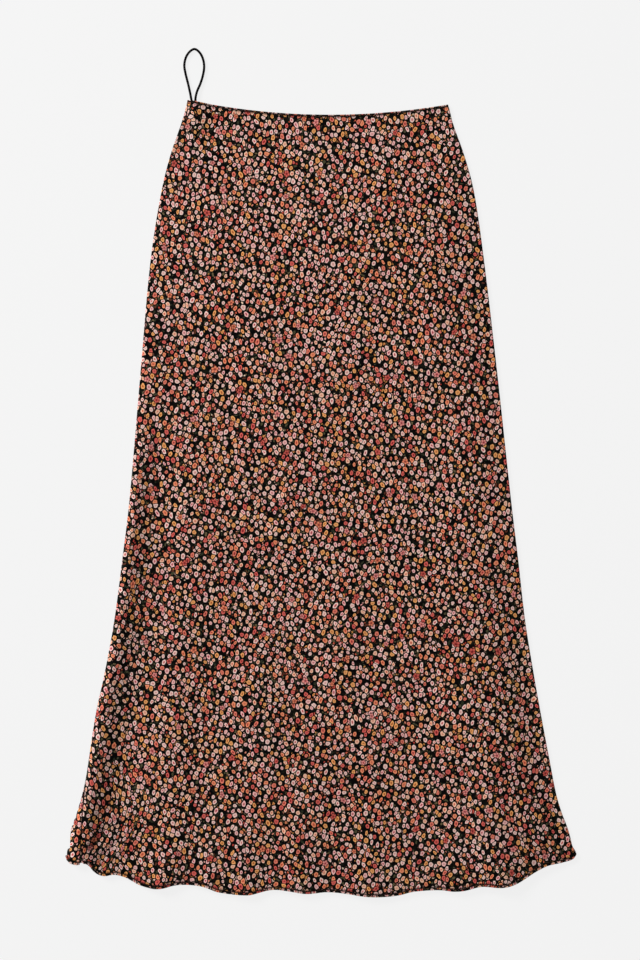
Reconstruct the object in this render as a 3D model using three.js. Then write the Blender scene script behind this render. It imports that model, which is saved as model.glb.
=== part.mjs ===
// A bias-cut midi skirt laid flat: the front panel lies on the back panel, and a thin cord loop for
// hanging comes out of the left end of the waist.
// Millimetres. X runs across the skirt, +Y towards the waist, +Z up. The underside lies at Z = 0 and
// the origin is the middle of the skirt's base.

import * as THREE from "three";

// Driving dimensions
const skirtLength = 971.5; // highest waist corner to the lowest point of the hem
const hemSpan = 625; // tip to tip
const waistDip = 15.3; // how far the middle of the waist hangs below its ends
const waistDrop = 5.6; // the right end lies this much lower than the left
const leftTip = 920; // side seams, measured down from the highest waist corner
const rightTip = 919;

const wall = 1.2; // cloth thickness
const seamGap = 0.3;
const foldRadius = 1.2; // middle of the wall at the side folds
const layerHeight = wall / 2 + foldRadius; // height of the side folds' middle

const loopDiameter = 3;
const loopSides = 8;
const loopSteps = 64;

const topY = skirtLength / 2;
const bottomY = -skirtLength / 2;
const turnLength = (foldRadius * Math.PI) / 2; // a quarter of the turn at a side fold

// Distances out from the middle line, for each distance down from the waist: the two side folds, and
// the left side seam, which leaves its fold near the hem and lies on the front there
const sideOutline = [
  { down: 0, left: 163, seam: 163, right: 154 },
  { down: 12, left: 165.5, seam: 165.5, right: 157.5 },
  { down: 30, left: 171, seam: 171, right: 162 },
  { down: 66, left: 183.5, seam: 183.5, right: 175 },
  { down: 110, left: 194.5, seam: 194.5, right: 187 },
  { down: 195, left: 208, seam: 208, right: 199.5 },
  { down: 340, left: 221, seam: 221, right: 216.5 },
  { down: 490, left: 234.1, seam: 234.1, right: 232.8 },
  { down: 560, left: 242.6, seam: 242.6, right: 241.2 },
  { down: 635, left: 252.5, seam: 252.5, right: 249.8 },
  { down: 700, left: 264.5, seam: 264.5, right: 260.3 },
  { down: 745, left: 274.4, seam: 274.4, right: 268.3 },
  { down: 815, left: 285.2, seam: 285.2, right: 281.5 },
  { down: 835, left: 288.6, seam: 287.4, right: 285.3 },
  { down: 853, left: 293.3, seam: 289.3, right: 289.5 },
  { down: 872, left: 299.1, seam: 291, right: 295.7 },
  { down: 885, left: 304.1, seam: 291.8, right: 300.8 },
  { down: 898, left: 306.3, seam: 292.4, right: 304.7 },
  { down: 909, left: 307.3, seam: 292.8, right: 307.4 },
  { down: 915, left: 310.4, seam: 293.1, right: 311 },
  { down: 920, left: 312.5, seam: 293.3, right: 312.5 },
];

// The hem line: height above its lowest point, for each distance from the middle line. It waves where
// the flutes stand, and its ends run up to the side seams.
const hemLine = [
  { across: -312.5, above: 51.5 },
  { across: -309, above: 44.1 },
  { across: -305, above: 41.3 },
  { across: -297, above: 39.3 },
  { across: -290, above: 40.8 },
  { across: -286, above: 40.5 },
  { across: -282, above: 38.2 },
  { across: -275, above: 30 },
  { across: -264, above: 25.7 },
  { across: -252, above: 27.2 },
  { across: -237, above: 23.4 },
  { across: -221, above: 14.7 },
  { across: -203, above: 10.3 },
  { across: -192, above: 11.1 },
  { across: -180, above: 14 },
  { across: -170, above: 14.8 },
  { across: -157, above: 14.4 },
  { across: -147, above: 13.4 },
  { across: -138, above: 11 },
  { across: -125, above: 5.9 },
  { across: -101, above: 2.9 },
  { across: -87, above: 2.7 },
  { across: -77, above: 4.7 },
  { across: -66, above: 7.4 },
  { across: -55, above: 8.7 },
  { across: -37, above: 6.9 },
  { across: -16, above: 4 },
  { across: 8, above: 5.9 },
  { across: 33, above: 3.8 },
  { across: 52, above: 0.9 },
  { across: 71, above: 0 },
  { across: 94, above: 1.8 },
  { across: 113, above: 6.3 },
  { across: 134, above: 8.1 },
  { across: 148, above: 8.3 },
  { across: 162, above: 6.8 },
  { across: 176, above: 7.8 },
  { across: 197, above: 13 },
  { across: 221, above: 12.3 },
  { across: 239, above: 16.8 },
  { across: 264, above: 31.9 },
  { across: 277, above: 38.3 },
  { across: 294, above: 41.7 },
  { across: 308, above: 46.2 },
  { across: 312.5, above: 52.5 },
];

const hemNotch = 3.4; // the front hem stops this much short beside the rolled strip
const notchWidth = 5.5;
const notchFrom = 0.98;
const backTuck = 1.5; // the back's waist and hem lie this much behind the front's
const tuckFade = 30; // away from the side folds

// Folds of the front panel. At and width are fractions of the panel's width; from, full and to are
// fractions of its length, and a fold that runs to 1 goes off the hem; rise is its height in millimetres.
const folds = [
  { at: 0.078, width: 0.035, from: 0.9, full: 1, to: 1, rise: 1.4 }, // hem flutes, left to right
  { at: 0.194, width: 0.05, from: 0.88, full: 1, to: 1, rise: 3.4 },
  { at: 0.276, width: 0.035, from: 0.9, full: 1, to: 1, rise: 1.8 },
  { at: 0.35, width: 0.05, from: 0.86, full: 1, to: 1, rise: 2.8 },
  { at: 0.455, width: 0.05, from: 0.88, full: 1, to: 1, rise: 2.2 },
  { at: 0.584, width: 0.07, from: 0.86, full: 1, to: 1, rise: 3 },
  { at: 0.76, width: 0.05, from: 0.9, full: 1, to: 1, rise: 2 },
  { at: 0.85, width: 0.055, from: 0.86, full: 1, to: 1, rise: 3.2 },
  { at: 0.945, width: 0.035, from: 0.9, full: 1, to: 1, rise: 1.4 },
  { at: 0.016, width: 0.07, from: 0.22, full: 0.6, to: 1, rise: 5 }, // the rim down the left
  { at: 0.172, width: 0.07, from: 0.3, full: 0.6, to: 0.95, rise: 1.8 }, // the long ridge inside it
  { at: 0.865, width: 0.13, from: 0.4, full: 0.72, to: 1, rise: 3.4 }, // the broad ridge down the right
];
const foldFade = 0.2; // the part of the length over which the ridge dies out
const airBetween = 1.6; // how far the middle of the front stands off the back
const airEdge = 0.09; // the part of the width over which it closes at the sides
const airWaist = 0.12; // the part of the length over which it closes at the waist
const liftStart = 0.9; // distances round from a side fold where the front starts to stand off, and
const liftFull = 7; // where it stands at its full height

// The lump over the hanger loop's sewn ends
const lump = { across: -154.6, halfWidth: 34, down: 14, fadeTo: 95, rise: 3.9 };
const lumpStart = 0.9; // distances in from the left fold where it starts and where it is whole
const lumpFull = 4.2;

// How each panel is divided into facets
const edgeSteps = [0, 0.45, 0.9, 1.3, 3.6, 7.5, 13, 21, 30]; // distances in from a seam
const frontMiddle = 28;
const backMiddle = 16;
const rollSteps = 4; // facets over the rolled strip, and round the turn beside it
const turnSteps = 6;
const upperRows = 24;
const hemRows = 17;
const hemRowsFrom = 0.8;
const hemRowsPower = 0.85; // under 1 sets the rows closer towards the hem

const lerp = THREE.MathUtils.lerp;
const clamp = THREE.MathUtils.clamp;
const smoothstep = THREE.MathUtils.smoothstep;

// A smooth curve through a table's rows, from one column to another
function tableCurve(rows, from, to) {
  const slopes = rows.map((row, i) => {
    const before = rows[Math.max(i - 1, 0)];
    const after = rows[Math.min(i + 1, rows.length - 1)];
    return (after[to] - before[to]) / (after[from] - before[from]);
  });
  return (value) => {
    let i = 0;
    while (i < rows.length - 2 && value > rows[i + 1][from]) i += 1;
    const span = rows[i + 1][from] - rows[i][from];
    const t = clamp((value - rows[i][from]) / span, 0, 1);
    const t2 = t * t;
    const t3 = t2 * t;
    return (
      (2 * t3 - 3 * t2 + 1) * rows[i][to] +
      (t3 - 2 * t2 + t) * span * slopes[i] +
      (3 * t2 - 2 * t3) * rows[i + 1][to] +
      (t3 - t2) * span * slopes[i + 1]
    );
  };
}

const leftOutline = tableCurve(sideOutline, "down", "left");
const seamOutline = tableCurve(sideOutline, "down", "seam");
const rightOutline = tableCurve(sideOutline, "down", "right");
const hemHeight = tableCurve(hemLine, "across", "above");

const leftFold = (v) => -leftOutline(v * leftTip);
const rightFold = (v) => rightOutline(lerp(waistDrop, rightTip, v));

const rollAt = (v) => Math.max(0, leftOutline(v * leftTip) - seamOutline(v * leftTip));

function waistY(u) {
  return topY - waistDrop * u - 4 * waistDip * u * (1 - u);
}

// A bump of height 1 that ends smoothly at 1 either side of 0
function bump(t) {
  return Math.abs(t) < 1 ? Math.cos((t * Math.PI) / 2) ** 2 : 0;
}

// How far the front panel stands above its flat place, at a point of its outline's own u and v
function liftAt(u, v, x, y) {
  const closed = smoothstep(Math.min(u, 1 - u), 0, airEdge) * smoothstep(v, -airWaist / 2, airWaist);
  let lift = airBetween * closed;
  for (const fold of folds) {
    const begun = smoothstep(v, fold.from, fold.full);
    const ended = fold.to < 1 ? smoothstep(v, fold.to - foldFade, fold.to) : 0;
    lift += fold.rise * bump((u - fold.at) / fold.width) * begun * (1 - ended);
  }
  const overLoop =
    bump((x - lump.across) / lump.halfWidth) *
    (1 - smoothstep(topY - y, lump.down, lump.fadeTo)) *
    smoothstep(x - leftFold(0), lumpStart, lumpFull);
  return Math.max(lift, lump.rise * overLoop);
}

function loopLength(v) {
  return rightFold(v) - leftFold(v) - wall - 2 * foldRadius + 2 * turnLength;
}

// The middle of the cloth, v down the skirt and c along the loop of the section: 0 at the left fold,
// positive over the top towards the right, negative underneath
function clothPoint(v, c) {
  const left = leftFold(v);
  const right = rightFold(v);
  const fromLeft = Math.abs(c);
  const nearest = Math.min(fromLeft, loopLength(v) - fromLeft);
  const angle = Math.min(nearest / foldRadius, Math.PI / 2);
  const round = foldRadius * (1 - Math.cos(angle));
  const inwards = wall / 2 + round + Math.max(0, nearest - turnLength);
  const x = nearest === fromLeft ? left + inwards : right - inwards;
  const u = (x - left) / (right - left);
  const hemX = lerp(-hemSpan / 2, hemSpan / 2, u);
  const y = lerp(waistY(u), bottomY + hemHeight(hemX), v);
  const side = Math.sign(c) || 1;
  const open = clamp((nearest - liftStart) / (liftFull - liftStart), 0, 1);
  const lift = side > 0 ? liftAt(u, v, x, y) * open : 0;
  return new THREE.Vector3(x, y, layerHeight + side * foldRadius * Math.sin(angle) + lift);
}

// The same point with the direction that faces out of the skirt there
function clothPlace(v, c) {
  const step = 1e-4;
  const down = clothPoint(v + step, c).sub(clothPoint(v - step, c));
  const along = clothPoint(v, c + step).sub(clothPoint(v, c - step));
  return { point: clothPoint(v, c), out: down.cross(along).normalize() };
}

// The front panel's middle at v, from the left seam to the right seam
function frontRow(v) {
  const inner = edgeSteps[edgeSteps.length - 1];
  const start = rollAt(v) + seamGap / 2;
  const end = loopLength(v) - seamGap / 2;
  const places = edgeSteps.map((step) => start + step);
  for (let i = 1; i < frontMiddle; i += 1) {
    places.push(lerp(start + inner, end - inner, i / frontMiddle));
  }
  places.push(...edgeSteps.map((step) => end - step).reverse());
  return places.map((c) => {
    const notch = 1 - smoothstep(c - start, 0, notchWidth);
    const short = (hemNotch / skirtLength) * notch * smoothstep(v, notchFrom, 1);
    return clothPlace(v - short, c - rollAt(v) + rollAt(v - short));
  });
}

// The back panel's middle at v: from the right seam underneath to the left fold and round it to the seam
function backRow(v) {
  const inner = edgeSteps[edgeSteps.length - 1];
  const start = rollAt(v) - seamGap / 2;
  const end = -(loopLength(v) - seamGap / 2);
  const rolled = rollSteps / (rollSteps + turnSteps);
  const top = Math.min(turnLength, start - (start + turnLength) * rolled);
  const places = [];
  for (let i = 0; i < rollSteps; i += 1) places.push(lerp(start, top, i / rollSteps));
  for (let i = 0; i < turnSteps; i += 1) places.push(lerp(top, -turnLength, i / turnSteps));
  for (let i = 0; i < backMiddle; i += 1) {
    places.push(lerp(-turnLength, end + inner, i / backMiddle));
  }
  places.push(...edgeSteps.map((step) => end + step).reverse());
  return places.reverse().map((c) => {
    const inside = smoothstep(Math.min(-c, c - end), tuckFade / 5, tuckFade);
    const tuck = (backTuck / skirtLength) * inside;
    return clothPlace(v + tuck * (1 - 2 * v), c);
  });
}

function rowPlaces() {
  const places = [];
  for (let i = 0; i < upperRows; i += 1) places.push((hemRowsFrom * i) / upperRows);
  for (let i = 0; i <= hemRows; i += 1) places.push(lerp(hemRowsFrom, 1, (i / hemRows) ** hemRowsPower));
  return places;
}

// A closed wall of even thickness round a grid of places on its middle
function wallGeometry(rows) {
  const rowCount = rows.length;
  const stationCount = rows[0].length;
  const positions = [];
  for (const side of [1, -1]) {
    for (const { point, out } of rows.flat()) {
      positions.push(...point.clone().addScaledVector(out, (side * wall) / 2));
    }
  }
  const sheet = rowCount * stationCount;
  const triangles = [];
  const quad = (a, b, c, d) => triangles.push(a, b, c, a, c, d);
  const id = (i, j) => i * stationCount + j;
  for (let i = 0; i < rowCount - 1; i += 1) {
    for (let j = 0; j < stationCount - 1; j += 1) {
      const corners = [id(i, j), id(i + 1, j), id(i + 1, j + 1), id(i, j + 1)];
      quad(...corners);
      quad(...corners.reverse().map((corner) => corner + sheet));
    }
  }
  const rim = [];
  for (let j = 0; j < stationCount - 1; j += 1) rim.push(id(0, j));
  for (let i = 0; i < rowCount - 1; i += 1) rim.push(id(i, stationCount - 1));
  for (let j = stationCount - 1; j > 0; j -= 1) rim.push(id(rowCount - 1, j));
  for (let i = rowCount - 1; i > 0; i -= 1) rim.push(id(i, 0));
  rim.forEach((corner, k) => {
    const next = rim[(k + 1) % rim.length];
    quad(corner, next, next + sheet, corner + sheet);
  });
  const geometry = new THREE.BufferGeometry();
  geometry.setAttribute("position", new THREE.Float32BufferAttribute(positions, 3));
  geometry.setIndex(triangles);
  geometry.computeVertexNormals();
  return geometry;
}

// The hanger loop's route: up from between the panels, round a pointed drop and back down
const loopFloor = loopDiameter / 2 + 0.1;
const loopInside = wall + seamGap + loopDiameter / 2;
const loopSlope = 2.4; // on the way from one to the other
const loopRoute = [
  [-156, 475.75, loopInside],
  [-156.6, 480.75, loopInside],
  [-157.8, 486.25, loopInside],
  [-159.1, 493.25, loopSlope],
  [-162, 506.25, loopFloor],
  [-165, 518.25, loopFloor],
  [-166.4, 528.25, loopFloor],
  [-164.2, 538.25, loopFloor],
  [-159.5, 544.95, loopFloor],
  [-154.1, 547.85, loopFloor],
  [-148.7, 544.65, loopFloor],
  [-144.2, 537.25, loopFloor],
  [-142.25, 527.25, loopFloor],
  [-143.4, 517.25, loopFloor],
  [-146.6, 506.25, loopFloor],
  [-151.1, 495.25, loopSlope],
  [-152.7, 487.25, loopInside],
  [-152.6, 481.25, loopInside],
  [-152.2, 475.75, loopInside],
];

function loopGeometry() {
  const route = new THREE.CatmullRomCurve3(
    loopRoute.map((point) => new THREE.Vector3(...point)),
  );
  const section = new THREE.Shape();
  for (let i = 0; i < loopSides; i += 1) {
    const angle = (2 * Math.PI * (i + 0.5)) / loopSides;
    const x = (Math.cos(angle) * loopDiameter) / 2;
    const y = (Math.sin(angle) * loopDiameter) / 2;
    if (i === 0) section.moveTo(x, y);
    else section.lineTo(x, y);
  }
  section.closePath();
  return new THREE.ExtrudeGeometry(section, {
    steps: loopSteps,
    bevelEnabled: false,
    extrudePath: route,
  });
}

function material(colour, roughness) {
  return new THREE.MeshStandardMaterial({ color: colour, roughness, metalness: 0 });
}

function named(name, geometry, finish) {
  const mesh = new THREE.Mesh(geometry, finish);
  mesh.name = name;
  return mesh;
}

const printCloth = material(0x6f4e42, 0.8);
const loopCord = material(0x0d0c0e, 0.6);
const skirt = new THREE.Group();
skirt.add(named("front_panel", wallGeometry(rowPlaces().map(frontRow)), printCloth));
skirt.add(named("back_panel", wallGeometry(rowPlaces().map(backRow)), printCloth));
skirt.add(named("hanger_loop", loopGeometry(), loopCord));

export default skirt;
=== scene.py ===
import math

import bpy
import numpy as np
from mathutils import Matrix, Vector


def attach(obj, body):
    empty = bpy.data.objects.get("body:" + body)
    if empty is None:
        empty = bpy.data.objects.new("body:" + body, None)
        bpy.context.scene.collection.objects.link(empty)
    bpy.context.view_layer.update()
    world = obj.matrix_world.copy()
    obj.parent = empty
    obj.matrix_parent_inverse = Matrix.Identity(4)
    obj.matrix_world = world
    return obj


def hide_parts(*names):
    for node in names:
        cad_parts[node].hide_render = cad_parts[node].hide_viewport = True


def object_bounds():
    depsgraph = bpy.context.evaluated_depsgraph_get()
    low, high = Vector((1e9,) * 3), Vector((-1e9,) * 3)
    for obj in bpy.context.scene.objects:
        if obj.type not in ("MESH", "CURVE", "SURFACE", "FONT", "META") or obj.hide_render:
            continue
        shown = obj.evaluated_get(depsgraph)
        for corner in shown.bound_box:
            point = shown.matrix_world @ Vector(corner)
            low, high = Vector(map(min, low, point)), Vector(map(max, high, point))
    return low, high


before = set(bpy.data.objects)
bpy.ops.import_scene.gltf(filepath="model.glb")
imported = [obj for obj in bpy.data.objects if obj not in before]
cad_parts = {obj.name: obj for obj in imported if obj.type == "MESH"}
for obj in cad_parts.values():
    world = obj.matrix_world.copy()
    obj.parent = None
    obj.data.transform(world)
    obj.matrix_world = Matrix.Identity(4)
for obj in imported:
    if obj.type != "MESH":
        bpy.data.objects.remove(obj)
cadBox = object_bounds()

# A bias-cut midi skirt laid flat: two printed panels and a thin hanger loop. Everything is in metres.

print("frame loaded")


studio = {
    "lens": 85,
    "sensor": 36,
    "frameShare": 0.88357,  # how much of the picture's height the skirt and its loop take
    "topMargin": 0.05017,
    "lookAside": -0.00095,
    "viewDepth": 50,
    "floorSize": 9,
    "floorDrop": 0.0003,
    "floorColour": (70, 70, 70),
    "floorGlow": 0.838,
    "floorRoughness": 0.9,
    "floorShine": 0.1,
    "keyPlace": (-3.54, 2.57, 2.53),
    "keySize": 1.8,
    "keyPower": 325,
    "fillPlace": (2.2, -1.2, 3),
    "fillSize": 3,
    "fillPower": 9,
    "skyColour": (255, 253, 250),
    "skyStrength": 0.27,
}


def linear(red, green, blue, alpha=1):
    # a colour given as 0 to 255, as a screen shows it
    shown = [c / 255 for c in (red, green, blue)]
    light = [c / 12.92 if c < 0.04045 else ((c + 0.055) / 1.055) ** 2.4 for c in shown]
    return (*light, alpha)


def newMaterial(name, constants):
    material = bpy.data.materials.new(name)
    material.use_nodes = True
    shader = material.node_tree.nodes["Principled BSDF"]
    for label, value in constants.items():
        shader.inputs[label].default_value = value
    return material, material.node_tree, shader


def makeCamera():
    low, high = cadBox
    pictureHeight = (high.y - low.y) / studio["frameShare"]
    data = bpy.data.cameras.new("camera")
    data.lens = studio["lens"]
    data.sensor_width = studio["sensor"]
    data.clip_end = studio["viewDepth"]
    camera = bpy.data.objects.new("camera", data)
    distance = pictureHeight * studio["lens"] / studio["sensor"]
    middle = high.y + studio["topMargin"] * pictureHeight - pictureHeight / 2
    camera.location = (studio["lookAside"], middle, distance)
    bpy.context.scene.collection.objects.link(camera)
    bpy.context.scene.camera = camera


def areaLight(name, place, size, power):
    data = bpy.data.lights.new(name, "AREA")
    data.shape = "DISK"
    data.size = size
    data.energy = power
    light = bpy.data.objects.new(name, data)
    light.location = place
    light.rotation_euler = (-Vector(place)).to_track_quat("-Z", "Y").to_euler()
    bpy.context.scene.collection.objects.link(light)


def makeStudio():
    areaLight("keyLight", studio["keyPlace"], studio["keySize"], studio["keyPower"])
    areaLight("fillLight", studio["fillPlace"], studio["fillSize"], studio["fillPower"])
    sky = bpy.data.worlds.new("sky")
    sky.use_nodes = True
    background = sky.node_tree.nodes["Background"]
    background.inputs["Color"].default_value = linear(*studio["skyColour"])
    background.inputs["Strength"].default_value = studio["skyStrength"]
    bpy.context.scene.world = sky
    bpy.context.scene.view_settings.view_transform = "Standard"
    half = studio["floorSize"] / 2
    mesh = bpy.data.meshes.new("floor")
    corners = [(-half, -half), (half, -half), (half, half), (-half, half)]
    mesh.from_pydata([(x, y, -studio["floorDrop"]) for x, y in corners], [], [(0, 1, 2, 3)])
    floor = bpy.data.objects.new("floor", mesh)
    bpy.context.scene.collection.objects.link(floor)
    constants = {
        "Base Color": linear(*studio["floorColour"]),
        "Roughness": studio["floorRoughness"],
        "Specular IOR Level": studio["floorShine"],
        "Emission Color": (1, 1, 1, 1),
        "Emission Strength": studio["floorGlow"],
    }
    mesh.materials.append(newMaterial("paleFloor", constants)[0])


makeCamera()
print("camera set")


def clamped(value):
    return np.clip(value, 0, 1)


def smoothStep(value, start, end):
    t = clamped((value - start) / (end - start))
    return t * t * (3 - 2 * t)


def mixed(start, end, share):
    return start + (end - start) * share


def bump(t):
    # height 1 in the middle, ending smoothly at 1 either side
    return np.where(np.abs(t) < 1, np.cos(np.clip(t, -1, 1) * math.pi / 2) ** 2, 0)


def curvePoint(t, start, end, leaving, arriving):
    # between two points, leaving the first and reaching the second with these slopes
    t2 = t * t
    t3 = t2 * t
    ends = (2 * t3 - 3 * t2 + 1) * start + (3 * t2 - 2 * t3) * end
    return ends + (t3 - 2 * t2 + t) * leaving + (t3 - t2) * arriving


def tableCurve(rows, source, target):
    # a smooth curve through a table's rows, from one column to another
    xs = np.array([row[source] for row in rows])
    ys = np.array([row[target] for row in rows])
    before = np.maximum(np.arange(len(rows)) - 1, 0)
    after = np.minimum(np.arange(len(rows)) + 1, len(rows) - 1)
    slopes = (ys[after] - ys[before]) / (xs[after] - xs[before])

    def valueAt(at):
        i = np.clip(np.searchsorted(xs, at) - 1, 0, len(rows) - 2)
        span = xs[i + 1] - xs[i]
        t = clamped((at - xs[i]) / span)
        return curvePoint(t, ys[i], ys[i + 1], span * slopes[i], span * slopes[i + 1])

    return valueAt


def table(columns, rows):
    # one dictionary for each row, with its values named by the columns
    return [dict(zip(columns.split(), row)) for row in rows]


def addObject(name, mesh, material):
    piece = bpy.data.objects.new(name, mesh)
    bpy.context.scene.collection.objects.link(piece)
    mesh.materials.clear()
    mesh.materials.append(material)
    mesh.shade_smooth()
    return piece


def keep(mesh, name, kind, values):
    # values kept at the mesh's points for a material or for Geometry Nodes
    field = "vector" if kind == "FLOAT_VECTOR" else "value"
    mesh.attributes.new(name, kind, "POINT").data.foreach_set(field, values.astype(np.float32).ravel())


def feed(tree, socket, value):
    if isinstance(value, bpy.types.NodeSocket):
        tree.links.new(value, socket)
    else:
        socket.default_value = value


def addNode(tree, kind, inputs=None, **settings):
    made = tree.nodes.new(kind)
    for name, value in settings.items():
        setattr(made, name, value)
    for key, value in (inputs or {}).items():
        feed(tree, made.inputs[key], value)
    return made


def sums(tree, operation, *values):
    made = tree.nodes.new("ShaderNodeMath")
    made.operation = operation
    for socket, value in zip(made.inputs, values):
        feed(tree, socket, value)
    return made.outputs[0]


def vectorSums(tree, operation, *values, scale=None):
    made = tree.nodes.new("ShaderNodeVectorMath")
    made.operation = operation
    for socket, value in zip(made.inputs, values):
        feed(tree, socket, value)
    if scale is not None:
        feed(tree, made.inputs["Scale"], scale)
    return made.outputs[0]


def ranged(tree, value, start, end, low=0, high=1):
    inputs = {"Value": value, "From Min": start, "From Max": end, "To Min": low, "To Max": high}
    made = addNode(tree, "ShaderNodeMapRange", inputs, interpolation_type="SMOOTHSTEP")
    return made.outputs["Result"]


def blended(tree, share, under, over, way="MIX"):
    made = tree.nodes.new("ShaderNodeMix")
    made.data_type = "RGBA"
    made.blend_type = way
    feed(tree, made.inputs[0], share)
    feed(tree, made.inputs[6], under)
    feed(tree, made.inputs[7], over)
    return made.outputs[2]


def addRelief(tree, shader, strength, depth, height):
    raised = {"Strength": strength, "Distance": depth, "Height": height}
    feed(tree, shader.inputs["Normal"], addNode(tree, "ShaderNodeBump", raised).outputs[0])


def rotated(tree, vector, angle):
    inputs = {"Vector": vector, "Angle": angle}
    return addNode(tree, "ShaderNodeVectorRotate", inputs, rotation_type="Z_AXIS").outputs[0]


def newTree(kind, name, inputs, outputs):
    # inputs and outputs give the kind of each named socket
    tree = bpy.data.node_groups.new(name, kind)
    for way, sockets in (("INPUT", inputs), ("OUTPUT", outputs)):
        for label, holds in sockets.items():
            tree.interface.new_socket(label, in_out=way, socket_type="NodeSocket" + holds)
    return tree, tree.nodes.new("NodeGroupInput").outputs, tree.nodes.new("NodeGroupOutput").inputs


def useGroup(tree, group, inputs, label=""):
    made = tree.nodes.new("ShaderNodeGroup")
    made.node_tree = group
    made.label = label
    for key, value in inputs.items():
        feed(tree, made.inputs[key], value)
    return made.outputs


# the hanger loop: a thin black cord, up from between the panels and back down
hangerLoop = {
    "diameter": 0.003,
    "floor": 0.0016,  # height of its middle where it lies beside the skirt
    "inside": 0.003,  # and between the panels
    "slope": 0.0024,
    "sides": 16,
    "stepsBetweenPoints": 12,
    "plies": 2,
    "twistPitch": 0.006,
    "twistDepth": 0.00009,
    "colour": (7, 6, 7),
    "paintedSheenColour": (26, 23, 25),
    "filaments": (60, 900, 1),  # how closely they run, along and round the cord
    "fuzz": 26,
    "roughness": (0.7, 0.85),
    "shine": 0.03,
    "glossRange": (0.2, 0.5),  # from which to which brightness of its filaments each change runs
    "roughRange": (0.1, 0.5),
    "filamentDepth": 0.0001,
    "filamentRelief": 0.4,
    "wallMap": {"left": 0.02, "bottom": 0.1, "width": 0.9, "height": 0.8},
    "endMap": {"across": 0.96, "up": 0.3, "apart": 0.4, "halfWidth": 0.02, "halfHeight": 0.1},
}

# lies says at which of the heights above each point lies
loopRoute = table("x y lies", [
    (-0.156, 0.47575, "inside"),
    (-0.1566, 0.48075, "inside"),
    (-0.1578, 0.48625, "inside"),
    (-0.1591, 0.49325, "slope"),
    (-0.162, 0.50625, "floor"),
    (-0.165, 0.51825, "floor"),
    (-0.1664, 0.52825, "floor"),
    (-0.1642, 0.53825, "floor"),
    (-0.1595, 0.54495, "floor"),
    (-0.1541, 0.54785, "floor"),
    (-0.1487, 0.54465, "floor"),
    (-0.1442, 0.53725, "floor"),
    (-0.14225, 0.52725, "floor"),
    (-0.1434, 0.51725, "floor"),
    (-0.1466, 0.50625, "floor"),
    (-0.1511, 0.49525, "slope"),
    (-0.1527, 0.48725, "inside"),
    (-0.1526, 0.48125, "inside"),
    (-0.1522, 0.47575, "inside"),
])
loopRoute = [(row["x"], row["y"], hangerLoop[row["lies"]]) for row in loopRoute]


def smoothRoute(points, steps):
    # a centripetal curve through the points
    known = np.array(points)
    known = np.vstack([2 * known[0] - known[1], known, 2 * known[-1] - known[-2]])
    route = []
    for i in range(1, len(known) - 2):
        p = known[i - 1 : i + 3]
        gaps = np.sqrt(np.linalg.norm(np.diff(p, axis=0), axis=1))
        slopeIn = (p[1] - p[0]) / gaps[0] - (p[2] - p[0]) / (gaps[0] + gaps[1])
        slopeIn = (slopeIn + (p[2] - p[1]) / gaps[1]) * gaps[1]
        slopeOut = (p[2] - p[1]) / gaps[1] - (p[3] - p[1]) / (gaps[1] + gaps[2])
        slopeOut = (slopeOut + (p[3] - p[2]) / gaps[2]) * gaps[1]
        for t in np.linspace(0, 1, steps, endpoint=False):
            route.append(curvePoint(t, p[1], p[2], slopeIn, slopeOut))
    route.append(known[-2])
    return np.array(route)


def loopMaterial():
    material, tree, shader = newMaterial("loopCord", {"Specular IOR Level": hangerLoop["shine"]})
    along = addNode(tree, "ShaderNodeUVMap", uv_map="OFBake").outputs[0]
    # fine filaments run along each ply
    stretched = vectorSums(tree, "MULTIPLY", along, hangerLoop["filaments"])
    filaments = addNode(tree, "ShaderNodeTexNoise", {"Vector": stretched, "Scale": 1, "Detail": 2})
    even = vectorSums(tree, "SCALE", along, scale=hangerLoop["fuzz"])
    fuzz = addNode(tree, "ShaderNodeTexNoise", {"Vector": even, "Scale": 1})
    light = sums(tree, "MULTIPLY", filaments.outputs["Fac"], fuzz.outputs["Fac"])
    # painted sheen: the cord's base colour runs from its black to a lighter sheen colour along the brighter
    # filaments
    gloss = ranged(tree, light, *hangerLoop["glossRange"])
    base = blended(tree, gloss, linear(*hangerLoop["colour"]), linear(*hangerLoop["paintedSheenColour"]))
    feed(tree, shader.inputs["Base Color"], base)
    roughness = ranged(tree, light, *hangerLoop["roughRange"], *hangerLoop["roughness"])
    feed(tree, shader.inputs["Roughness"], roughness)
    addRelief(
        tree, shader, hangerLoop["filamentRelief"], hangerLoop["filamentDepth"], filaments.outputs["Fac"]
    )
    return material


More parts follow.
